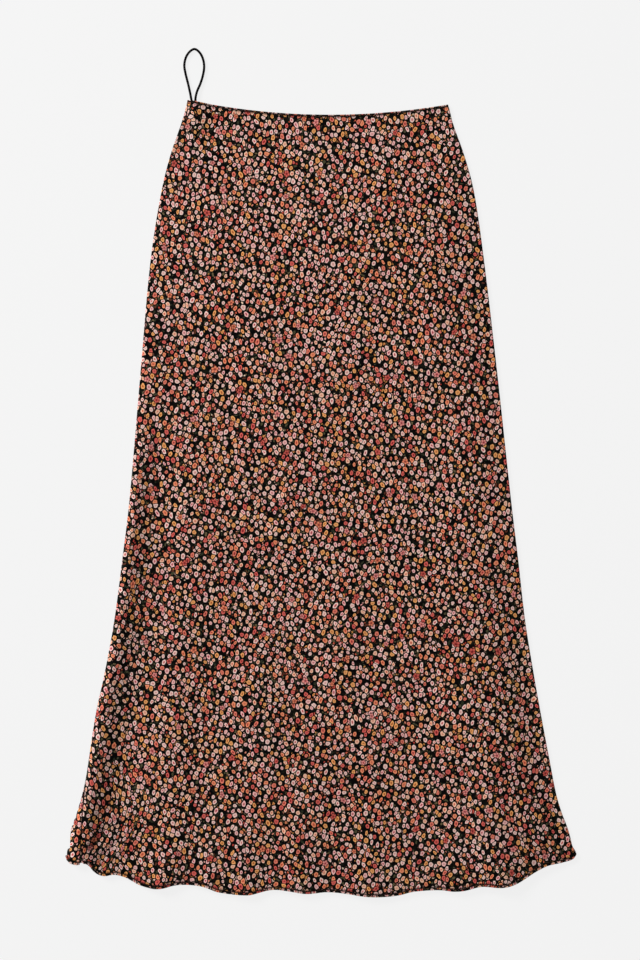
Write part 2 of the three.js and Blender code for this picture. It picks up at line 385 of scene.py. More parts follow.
def makeLoop():
    route = smoothRoute(loopRoute, hangerLoop["stepsBetweenPoints"])
    steps = np.linalg.norm(np.diff(route, axis=0), axis=1)
    along = np.concatenate([[0], np.cumsum(steps)])
    tangent = np.gradient(route, axis=0)
    tangent /= np.linalg.norm(tangent, axis=1)[:, None]
    aside = np.cross(tangent, (0, 0, 1))
    aside /= np.linalg.norm(aside, axis=1)[:, None]
    upward = np.cross(aside, tangent)
    sides = hangerLoop["sides"]
    angle = np.arange(sides) * 2 * math.pi / sides
    turn = along[:, None] * 2 * math.pi / hangerLoop["twistPitch"]
    plies = np.cos(hangerLoop["plies"] * (angle[None, :] - turn))
    radius = hangerLoop["diameter"] / 2 - hangerLoop["twistDepth"] * (1 - plies) / 2
    across = radius[..., None] * (
        np.cos(angle)[None, :, None] * aside[:, None] + np.sin(angle)[None, :, None] * upward[:, None]
    )
    points = (route[:, None] + across).reshape(-1, 3)
    rings = len(route)
    faces = []
    for i in range(rings - 1):
        for j in range(sides):
            k = (j + 1) % sides
            faces.append((i * sides + j, i * sides + k, (i + 1) * sides + k, (i + 1) * sides + j))
    faces.append(tuple(range(sides))[::-1])
    faces.append(tuple((rings - 1) * sides + j for j in range(sides)))
    mesh = bpy.data.meshes.new("hangerLoop")
    mesh.from_pydata(points, [], faces)
    piece = addObject("hangerLoop", mesh, loopMaterial())
    layer = mesh.uv_layers.new(name="OFBake")
    wallMap = hangerLoop["wallMap"]
    endMap = hangerLoop["endMap"]
    longest = along[-1]
    wall = len(faces) - 2
    for face in mesh.polygons:
        for corner, at in zip(face.loop_indices, face.vertices):
            ring, side = divmod(at, sides)
            if face.index < wall:
                turned = sides if side == 0 and face.index % sides == sides - 1 else side
                across = wallMap["left"] + wallMap["width"] * along[ring] / longest
                up = wallMap["bottom"] + wallMap["height"] * turned / sides
            else:
                across = endMap["across"] + endMap["halfWidth"] * math.cos(angle[side])
                up = endMap["up"] + endMap["apart"] * (ring > 0)
                up += endMap["halfHeight"] * math.sin(angle[side])
            layer.data[corner].uv = (across, up)
    return piece, route, longest


loopPiece, loopLine, loopLength = makeLoop()
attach(loopPiece, "root")
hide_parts("hanger_loop")
print("hanger loop made, length", round(loopLength, 4))

makeStudio()
print("studio lit")


# the skirt's form, which both panels share
skirt = {
    "length": 0.9715,
    "hemSpan": 0.625,
    "waistDip": 0.0153,
    "waistDrop": 0.0056,
    "leftTip": 0.92,
    "rightTip": 0.919,
    "wall": 0.0012,
    "foldRadius": 0.0012,
    "notch": 0.0034,  # the front hem stops this much short beside the rolled strip
    "notchWidth": 0.0055,
    "notchFrom": 0.98,
    "backTuck": 0.0015,  # the back stops this much short of the front inside its edges
    "tuckFade": (0.006, 0.03),
    "airBetween": 0.0016,
    "airEdge": 0.09,
    "airWaist": 0.12,
    "liftStart": 0.0009,
    "liftFull": 0.007,
    "foldFade": 0.2,
    "rollStart": (-0.2852, -0.3293),  # a straight line along the fold of the rolled strip
    "rollEnd": (-0.3125, -0.4343),
    "backPrint": (1.7, 0.6),  # how far along the print the back is cut
}

# distances out from the middle line, for each distance down from the waist
sideOutline = table("down left seam right", [
    (0, 0.163, 0.163, 0.154),
    (0.012, 0.1655, 0.1655, 0.1575),
    (0.03, 0.171, 0.171, 0.162),
    (0.066, 0.1835, 0.1835, 0.175),
    (0.11, 0.1945, 0.1945, 0.187),
    (0.195, 0.208, 0.208, 0.1995),
    (0.34, 0.221, 0.221, 0.2165),
    (0.49, 0.2341, 0.2341, 0.2328),
    (0.56, 0.2426, 0.2426, 0.2412),
    (0.635, 0.2525, 0.2525, 0.2498),
    (0.7, 0.2645, 0.2645, 0.2603),
    (0.745, 0.2744, 0.2744, 0.2683),
    (0.815, 0.2852, 0.2852, 0.2815),
    (0.835, 0.2886, 0.2874, 0.2853),
    (0.853, 0.2933, 0.2893, 0.2895),
    (0.872, 0.2991, 0.291, 0.2957),
    (0.885, 0.3041, 0.2918, 0.3008),
    (0.898, 0.3063, 0.2924, 0.3047),
    (0.909, 0.3073, 0.2928, 0.3074),
    (0.915, 0.3104, 0.2931, 0.311),
    (0.92, 0.3125, 0.2933, 0.3125),
])

# the hem line: height above its lowest point, for each distance from the middle line
hemLine = table("across above", [
    (-0.3125, 0.0515),
    (-0.309, 0.0441),
    (-0.305, 0.0413),
    (-0.297, 0.0393),
    (-0.29, 0.0408),
    (-0.286, 0.0405),
    (-0.282, 0.0382),
    (-0.275, 0.03),
    (-0.264, 0.0257),
    (-0.252, 0.0272),
    (-0.237, 0.0234),
    (-0.221, 0.0147),
    (-0.203, 0.0103),
    (-0.192, 0.0111),
    (-0.18, 0.014),
    (-0.17, 0.0148),
    (-0.157, 0.0144),
    (-0.147, 0.0134),
    (-0.138, 0.011),
    (-0.125, 0.0059),
    (-0.101, 0.0029),
    (-0.087, 0.0027),
    (-0.077, 0.0047),
    (-0.066, 0.0074),
    (-0.055, 0.0087),
    (-0.037, 0.0069),
    (-0.016, 0.004),
    (0.008, 0.0059),
    (0.033, 0.0038),
    (0.052, 0.0009),
    (0.071, 0),
    (0.094, 0.0018),
    (0.113, 0.0063),
    (0.134, 0.0081),
    (0.148, 0.0083),
    (0.162, 0.0068),
    (0.176, 0.0078),
    (0.197, 0.013),
    (0.221, 0.0123),
    (0.239, 0.0168),
    (0.264, 0.0319),
    (0.277, 0.0383),
    (0.294, 0.0417),
    (0.308, 0.0462),
    (0.3125, 0.0525),
])

# at and width are parts of the front's width; start, full and end are parts of its length
largeFolds = table("at width start full end rise", [
    (0.078, 0.035, 0.9, 1, 1, 0.0014),
    (0.194, 0.05, 0.88, 1, 1, 0.0034),
    (0.276, 0.035, 0.9, 1, 1, 0.0018),
    (0.35, 0.05, 0.86, 1, 1, 0.0028),
    (0.455, 0.05, 0.88, 1, 1, 0.0022),
    (0.584, 0.07, 0.86, 1, 1, 0.003),
    (0.76, 0.05, 0.9, 1, 1, 0.002),
    (0.85, 0.055, 0.86, 1, 1, 0.0032),
    (0.945, 0.035, 0.9, 1, 1, 0.0014),
    (0.016, 0.07, 0.22, 0.6, 1, 0.005),
    (0.172, 0.07, 0.3, 0.6, 0.95, 0.0018),
    (0.865, 0.13, 0.4, 0.72, 1, 0.0034),
])

# where the front passes over the hanger loop's sewn ends
loopLump = {
    "across": -0.1546,
    "halfWidth": 0.034,
    "down": 0.014,
    "fadeTo": 0.095,
    "rise": 0.0039,
    "start": 0.0009,
    "full": 0.0042,
}

topY = skirt["length"] / 2
layerHeight = skirt["wall"] / 2 + skirt["foldRadius"]
turnLength = skirt["foldRadius"] * math.pi / 2

leftOutline = tableCurve(sideOutline, "down", "left")
seamOutline = tableCurve(sideOutline, "down", "seam")
rightOutline = tableCurve(sideOutline, "down", "right")
hemHeight = tableCurve(hemLine, "across", "above")


def leftFold(v):
    return -leftOutline(v * skirt["leftTip"])


def rightFold(v):
    return rightOutline(mixed(skirt["waistDrop"], skirt["rightTip"], v))


def rollAt(v):
    # how far the left seam lies in from its fold
    down = v * skirt["leftTip"]
    return np.maximum(0, leftOutline(down) - seamOutline(down))


def waistY(u):
    return topY - skirt["waistDrop"] * u - 4 * skirt["waistDip"] * u * (1 - u)


def sectionLength(v):
    return rightFold(v) - leftFold(v) - skirt["wall"] - 2 * skirt["foldRadius"] + 2 * turnLength


def liftAt(u, v, x, y):
    nearSide = np.minimum(u, 1 - u)
    closed = smoothStep(nearSide, 0, skirt["airEdge"])
    closed = closed * smoothStep(v, -skirt["airWaist"] / 2, skirt["airWaist"])
    lift = skirt["airBetween"] * closed
    for fold in largeFolds:
        begun = smoothStep(v, fold["start"], fold["full"])
        ended = smoothStep(v, fold["end"] - skirt["foldFade"], fold["end"]) if fold["end"] < 1 else 0
        lift = lift + fold["rise"] * bump((u - fold["at"]) / fold["width"]) * begun * (1 - ended)
    overLoop = (
        bump((x - loopLump["across"]) / loopLump["halfWidth"])
        * (1 - smoothStep(topY - y, loopLump["down"], loopLump["fadeTo"]))
        * smoothStep(x - leftFold(0), loopLump["start"], loopLump["full"])
    )
    return np.maximum(lift, loopLump["rise"] * overLoop)


def clothPoint(v, c):
    # the middle of the cloth, v down the skirt and c round the section: 0 at the left fold,
    # positive over the top towards the right, negative underneath
    left = leftFold(v)
    right = rightFold(v)
    fromLeft = np.abs(c)
    nearest = np.minimum(fromLeft, sectionLength(v) - fromLeft)
    angle = np.minimum(nearest / skirt["foldRadius"], math.pi / 2)
    turned = skirt["foldRadius"] * (1 - np.cos(angle))
    inwards = skirt["wall"] / 2 + turned + np.maximum(0, nearest - turnLength)
    x = np.where(fromLeft <= sectionLength(v) - fromLeft, left + inwards, right - inwards)
    u = (x - left) / (right - left)
    hemX = mixed(-skirt["hemSpan"] / 2, skirt["hemSpan"] / 2, u)
    y = mixed(waistY(u), -topY + hemHeight(hemX), v)
    side = np.where(c < 0, -1, 1)
    opened = clamped((nearest - skirt["liftStart"]) / (skirt["liftFull"] - skirt["liftStart"]))
    lift = np.where(side > 0, liftAt(u, v, x, y) * opened, 0)
    z = layerHeight + side * skirt["foldRadius"] * np.sin(angle) + lift
    return np.stack([x, y, z], axis=-1)


def clothPlace(v, c):
    # the same point, with the direction that faces out of the skirt there
    stepDown = 1e-5
    stepAlong = 1e-6
    down = clothPoint(v + stepDown, c) - clothPoint(v - stepDown, c)
    along = clothPoint(v, c + stepAlong) - clothPoint(v, c - stepAlong)
    out = np.cross(down, along)
    return clothPoint(v, c), out / np.linalg.norm(out, axis=-1, keepdims=True)


# fine relief: creases, hem, waist and seams
finish = {
    "shell": 0.0005,  # cloth thickness, and its thickness where it is turned over
    "turnedShell": 0.0011,
    "edgeRound": 0.0004,
    "hem": {"stitched": 0.0032, "rise": 0.0002, "groove": 0.0004},  # stitched: how far in from the edge
    "waist": {"stitched": 0.0021, "rise": 0.0001, "groove": 0.0003},
    "grooveWidth": 0.0013,
    # how strongly the painted shade in the groove attribute darkens the cloth's colour
    "paintedShadeStrength": 0.92,
    "bandShift": (0.0313, 0.0127),  # the print jumps just outside the stitched lines
    "bandEdge": 0.0002,
    "seamDip": 0.0004,
    "seamWidth": 0.0012,
    "seamShadeWidth": 0.0011,
    "puckerRise": 0.00016,
    "puckerPitches": (0.0058, 0.0083, 0.013, 0.021),
    "puckerReach": (0.003, 0.011),
    "creaseFade": 0.35,  # the part of a crease's length over which it fades at either end
    "seamFade": 0.006,  # creases and waves die out towards the seams and the waist
    "waistFade": 0.01,
    "turnedReach": (0.003, 0.009),
    "turnStep": (0.0009, 0.0003),  # how far before the stitched line the turned cloth ends
    "waveRise": 0.0006,
    "waveCount": 16,
    "waveLengths": (0.028, 0.12),
    "waveLean": 0.5,
}

# the front is gathered at its lower corners, so that its print is drawn together there: across a line
# that leans away from start, by share, over reach, and less and less up the seam
gathers = [
    {"start": (-0.258, -0.447), "lean": (0.6, 0.8), "share": 0.8, "fade": (0.035, 0.12)},
    {"start": (0.268, -0.447), "lean": (-0.6, 0.8), "share": 0.3, "fade": (0.03, 0.12)},
]
gatherReach = 0.02
gatherSoftness = 0.003

# each runs from its start to its end; bow is how far its middle swings aside, and a rise under 0 is a trough
frontCreases = table("startX startY endX endY bow width rise", [
    (-0.198, 0.09, -0.259, -0.43, 0.006, 0.016, -0.0022),
    (-0.176, 0.13, -0.18, -0.28, -0.003, 0.012, 0.0005),
    (-0.16, -0.05, -0.158, -0.3, 0.002, 0.008, -0.0004),
    (0.24, -0.1, 0.287, -0.432, -0.005, 0.013, -0.001),
    (0.25, -0.4, 0.264, -0.46, 0.001, 0.008, -0.0014),
    (0.215, -0.06, 0.243, -0.36, 0.003, 0.015, 0.0006),
    (-0.131, 0.452, -0.106, 0.37, 0.003, 0.022, -0.0006),
    (0.114, 0.452, 0.098, 0.375, -0.002, 0.02, -0.0006),
    (-0.156, 0.3, -0.161, 0.222, 0, 0.014, -0.0004),
    (-0.139, -0.17, -0.161, -0.43, 0.003, 0.01, -0.0007),
    (-0.113, -0.25, -0.127, -0.468, -0.002, 0.012, 0.0005),
    (-0.079, -0.22, -0.092, -0.456, 0.002, 0.01, -0.0007),
    (-0.036, -0.26, -0.04, -0.47, -0.002, 0.01, 0.0004),
    (0.012, -0.28, 0.018, -0.466, 0.002, 0.009, -0.0006),
    (0.05, -0.2, 0.064, -0.47, -0.003, 0.012, 0.0005),
    (0.09, -0.15, 0.112, -0.444, -0.003, 0.011, -0.0008),
    (0.135, -0.24, 0.152, -0.45, 0.002, 0.01, 0.0004),
    (0.163, -0.23, 0.193, -0.454, -0.002, 0.01, -0.0007),
    (0.219, -0.27, 0.238, -0.44, 0.002, 0.008, -0.0005),
    (-0.159, 0.484, -0.167, 0.425, 0.001, 0.004, -0.00025),
    (-0.147, 0.482, -0.139, 0.41, -0.001, 0.005, -0.0003),
    (-0.171, 0.33, -0.073, 0.243, 0.006, 0.012, 0.00025),
    (0.165, 0.36, 0.07, 0.29, -0.005, 0.012, 0.00025),
    (-0.02, 0.16, -0.045, -0.08, 0.004, 0.013, 0.0003),
    (0.08, 0.1, 0.1, -0.14, -0.004, 0.012, -0.0003),
    (0.151, 0.05, 0.176, -0.2, 0.003, 0.013, 0.00035),
    (-0.12, 0.04, -0.136, -0.16, -0.003, 0.011, 0.0003),
    (-0.2905, -0.437, -0.258, -0.394, 0.001, 0.0028, -0.0014),
    (-0.29, -0.429, -0.264, -0.384, 0.001, 0.0036, 0.0026),
    (-0.289, -0.413, -0.272, -0.368, 0.001, 0.0032, 0.0022),
    (-0.284, -0.443, -0.249, -0.406, 0.001, 0.0038, 0.0024),
    (-0.27, -0.45, -0.234, -0.418, 0.001, 0.0032, 0.0015),
    (-0.2885, -0.396, -0.274, -0.345, 0, 0.0036, 0.0015),
    (-0.272, -0.402, -0.252, -0.352, 0.001, 0.004, -0.0009),
    (-0.256, -0.428, -0.226, -0.378, 0.001, 0.005, -0.0009),
    (-0.195, -0.44, -0.193, -0.52, 0, 0.012, 0.0017),
    (-0.134, -0.445, -0.134, -0.52, 0, 0.009, 0.0011),
    (-0.086, -0.45, -0.086, -0.53, 0, 0.01, 0.0012),
    (-0.026, -0.45, -0.026, -0.53, 0, 0.009, 0.0008),
    (0.224, -0.44, 0.226, -0.52, 0, 0.011, 0.0012),
    (0.296, -0.436, 0.262, -0.383, -0.002, 0.005, 0.0008),
    (0.285, -0.442, 0.247, -0.402, -0.001, 0.0045, -0.0007),
    (0.303, -0.43, 0.279, -0.37, -0.001, 0.004, -0.0007),
])

# painted shade: bands where the front's colour is darkened to stand for the shade in the lee of its folds and
# gathers,
# # and to dim the lit slope over the hanger loop; each band fades in and out over these parts of its length
frontPaintedShades = table("startX startY endX endY bow width fadeIn fadeOut depth", [
    (-0.214, 0.15, -0.2815, -0.44, -0.021, 0.018, 0.35, 0.01, 0.22),
    (0.2, -0.03, 0.277, -0.43, 0.004, 0.018, 0.3, 0.05, 0.07),
    (0.27, -0.41, 0.256, -0.458, 0, 0.011, 0.4, 0.05, 0.24),
    (-0.287, -0.41, -0.268, -0.452, 0, 0.009, 0.4, 0.2, 0.26),
    (-0.2825, -0.33, -0.276, -0.43, 0, 0.007, 0.4, 0.2, 0.14),
    (-0.163, 0.48, -0.188, 0.395, 0, 0.012, 0.05, 0.5, 0.24),
])

# the back lies on the floor, so its creases only stand away from it
backCreases = table("startX startY endX endY bow width rise", [
    (-0.236, -0.08, -0.262, -0.43, -0.004, 0.012, -0.0005),
    (0.24, -0.12, 0.283, -0.42, 0.005, 0.011, -0.0005),
    (-0.17, -0.2, -0.181, -0.46, 0.003, 0.009, -0.0004),
    (-0.091, -0.13, -0.108, -0.47, -0.004, 0.012, -0.0006),
    (-0.02, -0.25, -0.012, -0.47, 0.002, 0.008, -0.0004),
    (0.06, -0.18, 0.078, -0.47, 0.003, 0.011, -0.0006),
    (0.141, -0.26, 0.168, -0.46, -0.002, 0.009, -0.0004),
    (0.205, -0.2, 0.232, -0.44, -0.003, 0.01, -0.0005),
    (-0.11, 0.45, -0.132, 0.35, 0.003, 0.018, -0.0004),
    (0.1, 0.45, 0.121, 0.36, -0.003, 0.016, -0.0004),
    (0.01, 0.3, -0.03, 0.02, 0.005, 0.013, -0.0003),
    (0.13, 0.12, 0.152, -0.12, 0.004, 0.012, -0.0003),
    (-0.14, 0.1, -0.151, -0.1, -0.003, 0.012, -0.0003),
    (0.292, -0.43, 0.262, -0.39, 0.001, 0.004, -0.0004),
    (-0.275, -0.43, -0.25, -0.38, 0.001, 0.004, -0.0004),
])

# how each panel is divided: distances from a seam, from the waist and from the hem, close together there
grid = {
    "seamSteps": [
        0, 0.00015, 0.0004, 0.0008, 0.0014, 0.0022, 0.0034,
        0.005, 0.007, 0.0095, 0.0125, 0.016, 0.02,
    ],
    "middleStations": 176,
    "waistSteps": [0, 0.00015, 0.0004, 0.0009, 0.0013, 0.0017, 0.0021, 0.0025, 0.003, 0.005, 0.008],
    "hemSteps": [
        0, 0.00015, 0.0004, 0.001, 0.0018, 0.0024, 0.0028,
        0.0032, 0.0036, 0.0041, 0.0048, 0.006, 0.008,
    ],
    "middleRows": 118,
    "closeRows": 52,  # of these, how many lie in the lowest part
    "closeFrom": 0.86,
    "panelLength": 0.933,  # the middle length that turns a part of the length into a distance
}


def alongLines(x, y, lines, amount):
    # the sum of soft bands along bowed lines, which fade out at their ends
    total = np.zeros_like(x)
    for line in lines:
        fromX = x - line["startX"]
        fromY = y - line["startY"]
        runX = line["endX"] - line["startX"]
        runY = line["endY"] - line["startY"]
        length = math.hypot(runX, runY)
        t = (fromX * runX + fromY * runY) / length**2
        aside = (fromX * runY - fromY * runX) / length
        aside = aside - line["bow"] * 4 * t * (1 - t)
        fadeIn = line.get("fadeIn", finish["creaseFade"])
        fadeOut = line.get("fadeOut", finish["creaseFade"])
        ends = smoothStep(t, 0, fadeIn) * smoothStep(1 - t, 0, fadeOut)
        total += line[amount] * np.exp(-((aside / line["width"]) ** 2)) * ends
    return total


def softWaves(x, y, seed):
    # the cloth's own unevenness, mostly in long waves down the skirt
    chance = np.random.default_rng(seed)
    shortest, longest = finish["waveLengths"]
    total = np.zeros_like(x)
    for _ in range(finish["waveCount"]):
        length = chance.uniform(shortest, longest)
        lean = chance.normal(0, finish["waveLean"])
        phase = chance.uniform(0, 2 * math.pi)
        across = x * math.cos(lean) + y * math.sin(lean)
        total += np.sin(2 * math.pi * across / length + phase) * length / longest
    return total / math.sqrt(finish["waveCount"])


def puckers(along, seed):
    # small gathers along a line of stitches, uneven in pitch and height
    chance = np.random.default_rng(seed)
    total = np.zeros_like(along)
    for pitch in finish["puckerPitches"]:
        total += np.sin(2 * math.pi * along / pitch + chance.uniform(0, 2 * math.pi))
    return total / 2


def grooveAt(edge, away):
    # 1 along the edge's stitched line
    return np.exp(-(((away - finish[edge]["stitched"]) / finish["grooveWidth"]) ** 2))


def edgeRelief(fromHem, fromWaist, fromSeam, along, seed):
    turnStart, turnEnd = finish["turnStep"]
    relief = 0
    for edge, away in (("hem", fromHem), ("waist", fromWaist)):
        line = finish[edge]["stitched"]
        turned = 1 - smoothStep(away, line - turnStart, line - turnEnd)
        relief = relief + finish[edge]["rise"] * turned - finish[edge]["groove"] * grooveAt(edge, away)
    seam = np.exp(-((fromSeam / finish["seamWidth"]) ** 2))
    gathered = puckers(along, seed) * finish["puckerRise"]
    return relief - finish["seamDip"] * seam + gathered * (1 - smoothStep(fromHem, *finish["puckerReach"]))


def downPlaces():
    # parts of the skirt's length, close together at the waist and the hem
    atWaist = np.array(grid["waistSteps"]) / grid["panelLength"]
    atHem = 1 - np.array(grid["hemSteps"])[::-1] / grid["panelLength"]
    upper = np.linspace(atWaist[-1], grid["closeFrom"], grid["middleRows"] - grid["closeRows"])
    lower = np.linspace(grid["closeFrom"], atHem[0], grid["closeRows"])
    return np.concatenate([atWaist, upper[1:], lower[1:], atHem[1:]])


def aroundPlaces(start, end):
    # distances round the section at each row, close together at the seams
    steps = np.array(grid["seamSteps"])
    inner = np.linspace(start + steps[-1], end - steps[-1], grid["middleStations"], axis=-1)
    return np.concatenate([start[:, None] + steps, inner[:, 1:-1], end[:, None] - steps[::-1]], axis=-1)


def frontPlaces():
    v = downPlaces()
    c = aroundPlaces(rollAt(v), sectionLength(v))
    v = np.repeat(v[:, None], c.shape[1], axis=1)
    fromSeam = c - rollAt(v)
    notched = 1 - smoothStep(fromSeam, 0, skirt["notchWidth"])
    short = skirt["notch"] / skirt["length"] * notched * smoothStep(v, skirt["notchFrom"], 1)
    return v, c, v - short, c - rollAt(v) + rollAt(v - short)


def backPlaces():
    v = downPlaces()
    c = aroundPlaces(-sectionLength(v), rollAt(v))
    v = np.repeat(v[:, None], c.shape[1], axis=1)
    inside = smoothStep(np.minimum(-c, c + sectionLength(v)), *skirt["tuckFade"])
    tucked = skirt["backTuck"] / skirt["length"] * inside
    return v, c, v + tucked * (1 - 2 * v), c


def frontPrint(v, c, y):
    # where each point lies on the printed length, unrolled flat
    fromLeft = np.abs(c)
    toRight = sectionLength(v) - fromLeft
    unrolled = skirt["wall"] / 2 + skirt["foldRadius"] - turnLength
    left = leftFold(v) + unrolled + fromLeft
    right = rightFold(v) - unrolled - toRight
    return np.stack([np.where(fromLeft <= toRight, left, right), y], axis=-1)


def gatheredPrint(place):
    for gather in gathers:
        alongX, alongY = gather["lean"]
        aside = np.array([-alongY, alongX]) * np.sign(alongX)
        depth = (place - gather["start"]) @ aside
        depth = (depth + np.sqrt(depth**2 + gatherSoftness**2)) / 2
        along = (place - gather["start"]) @ np.array(gather["lean"])
        fade = 1 - smoothStep(along, *gather["fade"])
        drawn = gather["share"] * gatherReach * np.tanh(depth / gatherReach) * fade
        place = place + drawn[..., None] * aside
    return place


def backPrint(v, c, y):
    # the same for the back, whose rolled strip is turned over about the line of its fold; the back
    # is cut from further along the print
    flat = frontPrint(v, c, y)
    start = np.array(skirt["rollStart"])
    run = np.array(skirt["rollEnd"]) - start
    run /= np.linalg.norm(run)
    normal = np.array([run[1], -run[0]])
    depth = (flat - start) @ normal
    turned = flat - 2 * depth[..., None] * normal
    share = clamped((c + turnLength) / (2 * turnLength)) * smoothStep(rollAt(v), 0, turnLength)
    place = mixed(flat, turned, share[..., None])
    return place * (-1, 1) + skirt["backPrint"]


# where each panel's faces lie on its own map: the right side, and beside it the wrong side in a narrow strip
panelMap = {
    "right": {"middle": 0.43, "halfWidth": 0.42},
    "wrong": {"middle": 0.94, "halfWidth": 0.05},
    "top": 0.99,
    "height": 0.98,
    "hemMargin": 0.015,
}


def shellMesh(name, outer, inner, place, groove, spread):
    # a closed thin shell: the outer and the inner face share the vertices on their border
    rows, stations = outer.shape[:2]
    outerIds = np.arange(rows * stations).reshape(rows, stations)
    innerIds = outerIds.copy()
    innerIds[1:-1, 1:-1] = rows * stations + np.arange((rows - 2) * (stations - 2)).reshape(rows - 2, -1)

    def quads(ids):
        return np.stack([ids[:-1, :-1], ids[1:, :-1], ids[1:, 1:], ids[:-1, 1:]], axis=-1).reshape(-1, 4)

    def perPoint(values):
        width = values[0, 0].size
        return np.concatenate([values.reshape(-1, width), values[1:-1, 1:-1].reshape(-1, width)])

    faces = np.concatenate([quads(outerIds), quads(innerIds)[:, ::-1]])
    points = np.concatenate([outer.reshape(-1, 3), inner[1:-1, 1:-1].reshape(-1, 3)])
    mesh = bpy.data.meshes.new(name)
    mesh.from_pydata(points, [], faces.tolist())
    wrongSide = np.concatenate([np.zeros(rows * stations), np.ones((rows - 2) * (stations - 2))])
    places = np.concatenate([perPoint(place), wrongSide[:, None]], axis=1)
    keep(mesh, "clothPlace", "FLOAT_VECTOR", places)
    # the groove attribute holds the painted shade that darkens the cloth's colour
    keep(mesh, "groove", "FLOAT", perPoint(groove[..., None]))

    def mapped(side):
        across = panelMap[side]["middle"] + panelMap[side]["halfWidth"] * spread["across"]
        up = panelMap["top"] - panelMap["height"] * np.repeat(spread["down"][:, None], stations, axis=1)
        return np.stack([across, up], axis=-1).reshape(-1, 2)

    corners = np.concatenate([mapped("right")[quads(outerIds)], mapped("wrong")[quads(outerIds)[:, ::-1]]])
    mesh.uv_layers.new(name="OFBake").data.foreach_set("uv", corners.astype(np.float32).ravel())
    return mesh


def makePanel(name, places, creases, material, isFront, seed):
    v, c, shiftedV, shiftedC = places
    middle, out = clothPlace(shiftedV, shiftedC)
    x = middle[..., 0]
    y = middle[..., 1]
    fromHem = (1 - v) * grid["panelLength"]
    fromWaist = v * grid["panelLength"]
    fromSeam = np.minimum(c - c[:, :1], c[:, -1:] - c)
    fadeIn = smoothStep(fromSeam, 0, finish["seamFade"]) * smoothStep(fromWaist, 0, finish["waistFade"])
    creased = alongLines(x, y, creases, "rise")
    waves = softWaves(x, y, seed) * finish["waveRise"]
    edges = edgeRelief(fromHem, fromWaist, fromSeam, c, seed)
    if isFront:
        relief = (creased + waves) * fadeIn + edges
    else:
        relief = (creased - np.abs(waves)) * fadeIn + np.minimum(edges, 0)  # it lies on the floor
    turned = 1 - smoothStep(np.minimum(fromHem, fromWaist), *finish["turnedReach"])
    shell = mixed(finish["shell"], finish["turnedShell"], turned)
    openEdge = np.minimum(np.minimum(fromHem, fromWaist), fromSeam)
    rounded = clamped(openEdge / finish["edgeRound"])
    thickness = shell * np.sqrt(1 - (1 - rounded) ** 2)
    centre = skirt["wall"] / 2 - shell / 2 + relief
    outer = middle + out * (centre + thickness / 2)[..., None]
    inner = middle + out * (centre - thickness / 2)[..., None]
    place = gatheredPrint(frontPrint(v, c, y)) if isFront else backPrint(v, c, y)
    inHem = fromHem < finish["hem"]["stitched"] - finish["bandEdge"]
    inBand = inHem | (fromWaist < finish["waist"]["stitched"] - finish["bandEdge"])
    place = place + inBand[..., None] * np.array(finish["bandShift"])
    # painted shade, held in the groove attribute: darker along the hem's and waist's stitched lines, partly
    # the black thread's colour and partly the groove's painted shadow, along the rolled strip's seam, and on
    # the front in the painted bands in the lee of its folds
    leftSeam = np.abs(c - rollAt(v)) / finish["seamShadeWidth"]
    seamShade = np.exp(-(leftSeam**2)) * smoothStep(rollAt(v), 0, turnLength)
    groove = np.maximum(grooveAt("hem", fromHem), grooveAt("waist", fromWaist))
    groove = np.maximum(groove, seamShade)
    if isFront:
        shade = alongLines(x, y, frontPaintedShades, "depth") / finish["paintedShadeStrength"]
        groove = 1 - (1 - groove) * (1 - shade)
    reach = (c - c.mean(axis=1, keepdims=True)) / (skirt["hemSpan"] / 2 + panelMap["hemMargin"])
    mesh = shellMesh(name, outer, inner, place, groove, {"down": v[:, 0], "across": reach})
    return addObject(name, mesh, material), outer, out


stitches = {
    "pitch": 0.0024,
    "length": 0.0018,
    "thickness": 0.00042,
    "sides": 6,
    "rings": 4,
    "uneven": (0.8, 1.1),
    "raised": 0.1,  # how far their middles stand out of the groove, as a part of their thickness
    "seed": 5,
    "colour": (12, 10, 11),
    "roughness": 0.6,
    "shine": 0.05,
}


